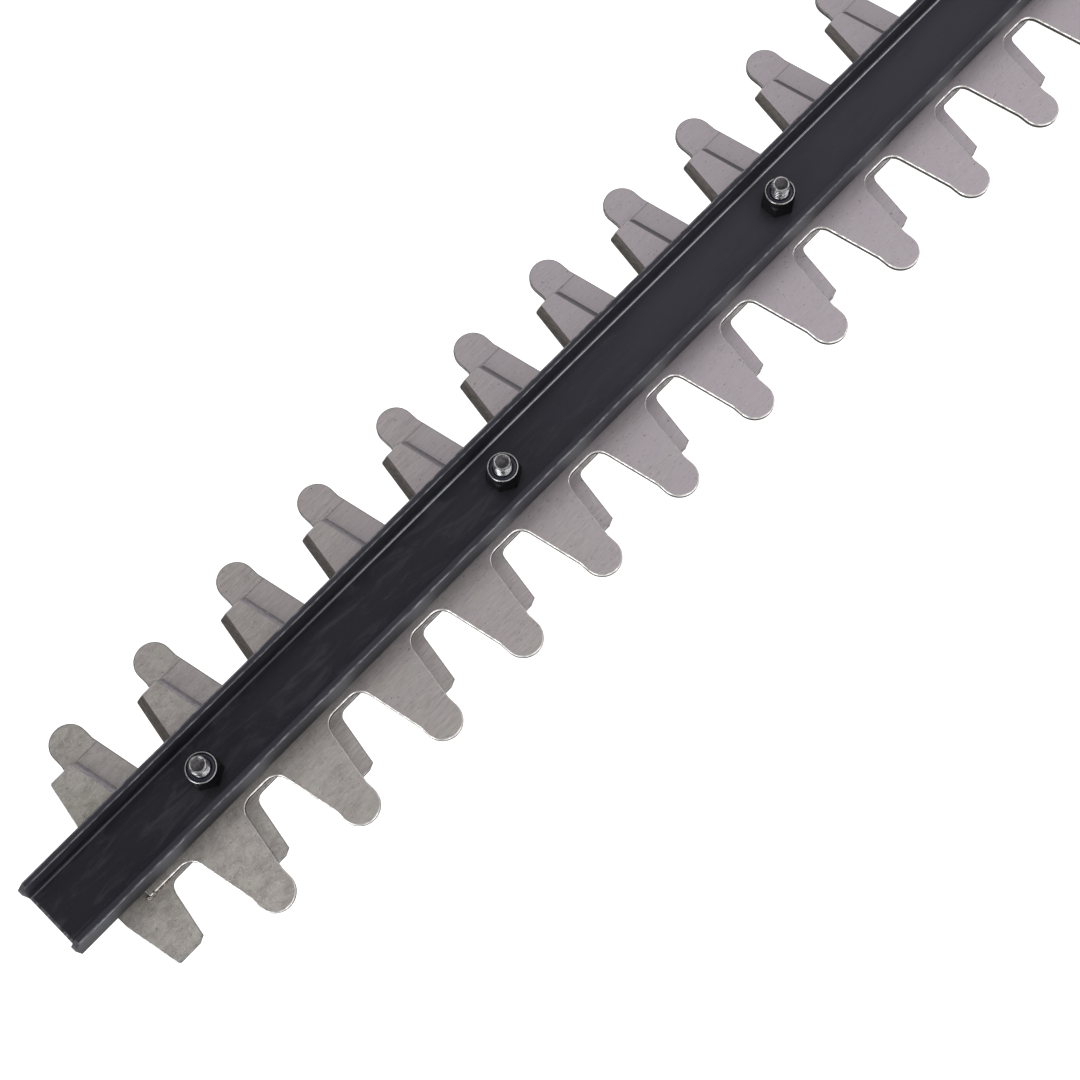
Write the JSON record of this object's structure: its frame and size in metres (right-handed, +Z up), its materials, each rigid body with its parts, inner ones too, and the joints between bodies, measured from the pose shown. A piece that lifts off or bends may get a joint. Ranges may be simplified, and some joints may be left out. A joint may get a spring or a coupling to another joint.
{
  "type": "hedge trimmer",
  "caption": "Double-sided hedge trimmer cutter bar: two reciprocating toothed blades bolted under a black U channel, driven by a gear head with a pole clamp.",
  "frame": {"origin": "on the axis of the pole clamp, halfway along its bore", "axes": "+X along the pole's axis, out of the clamp's mouth, so the bar lies towards -X; +Z up from the blades to the channel; +Y to the left of +X"},
  "size_m": [0.7178, 0.0902, 0.067],
  "materials": {
    "blade_steel": "ground flat along the bar, bright cut edges",
    "black_steel": "satin black oxide, rubbed lighter along its edges",
    "plated_steel": "bright zinc plate",
    "nylon": "matt dark nylon",
    "cast_alloy": "fine cast skin, grey",
    "gasket": "matt pressed sheet",
    "felt": "dense felt",
    "machined_steel": "turned and ground",
    "bearing_steel": "polished rings with pressed shields",
    "bronze": "turned bronze"
  },
  "bodies": {
    "head": {"guide_channel": "black_steel", "slide_bushes": "plated_steel", "channel_spacers": "black_steel", "bolt_washers": "plated_steel", "bar_bolts": "plated_steel", "head_bolts": "plated_steel", "bar_nuts": "black_steel", "nut_inserts": "nylon", "gear_case": "cast_alloy", "base_plate": "cast_alloy", "case_gasket": "gasket", "case_screws": "plated_steel", "blade_wiper": "felt", "grease_nipple": "plated_steel", "crank_bearing_outers": "bearing_steel", "input_bearing_outers": "bearing_steel", "input_circlip": "black_steel", "clamp_screws": "plated_steel", "tube_lock_screw": "plated_steel"},
    "upper_blade": {"upper_blade": "blade_steel"},
    "lower_blade": {"lower_blade": "blade_steel"},
    "crank": {"crankshaft": "machined_steel", "crank_gear": "machined_steel", "crank_key": "machined_steel", "crank_bearing_inners": "bearing_steel"},
    "upper_rod": {"upper_con_rod": "machined_steel", "upper_rod_bush": "bronze", "upper_rod_pin": "plated_steel"},
    "lower_rod": {"lower_con_rod": "machined_steel", "lower_rod_bush": "bronze", "lower_rod_pin": "plated_steel"},
    "input": {"input_pinion": "machined_steel", "input_bearing_inners": "bearing_steel", "input_spacer": "machined_steel"}
  },
  "joints": [
    {"name": "upper_blade_slide", "type": "slide", "parent": "head", "child": "upper_blade", "axis": [1, 0, 0], "range_m": [-0.01415, 0.00335]},
    {"name": "lower_blade_slide", "type": "slide", "parent": "head", "child": "lower_blade", "axis": [1, 0, 0], "range_m": [-0.00335, 0.01415]},
    {"name": "crank_spin", "type": "hinge", "parent": "head", "child": "crank", "pos_m": [-0.086, 0, -0.019], "axis": [0, 0, 1], "continuous": true},
    {"name": "upper_rod_swing", "type": "hinge", "parent": "crank", "child": "upper_rod", "pos_m": [-0.0806, 0.00688, -0.019], "axis": [0, 0, 1], "continuous": true},
    {"name": "lower_rod_swing", "type": "hinge", "parent": "crank", "child": "lower_rod", "pos_m": [-0.0914, -0.00688, -0.019], "axis": [0, 0, 1], "continuous": true},
    {"name": "input_spin", "type": "hinge", "parent": "head", "child": "input", "pos_m": [-0.027, 0, 0], "axis": [1, 0, 0], "continuous": true}
  ],
  "couplings": [
    {"joint": "lower_blade_slide", "follows": "upper_blade_slide", "ratio": -1},
    {"joint": "upper_rod_swing", "follows": "crank_spin", "ratio": -1},
    {"joint": "lower_rod_swing", "follows": "crank_spin", "ratio": -1},
    {"joint": "input_spin", "follows": "crank_spin", "ratio": 4}
  ]
}
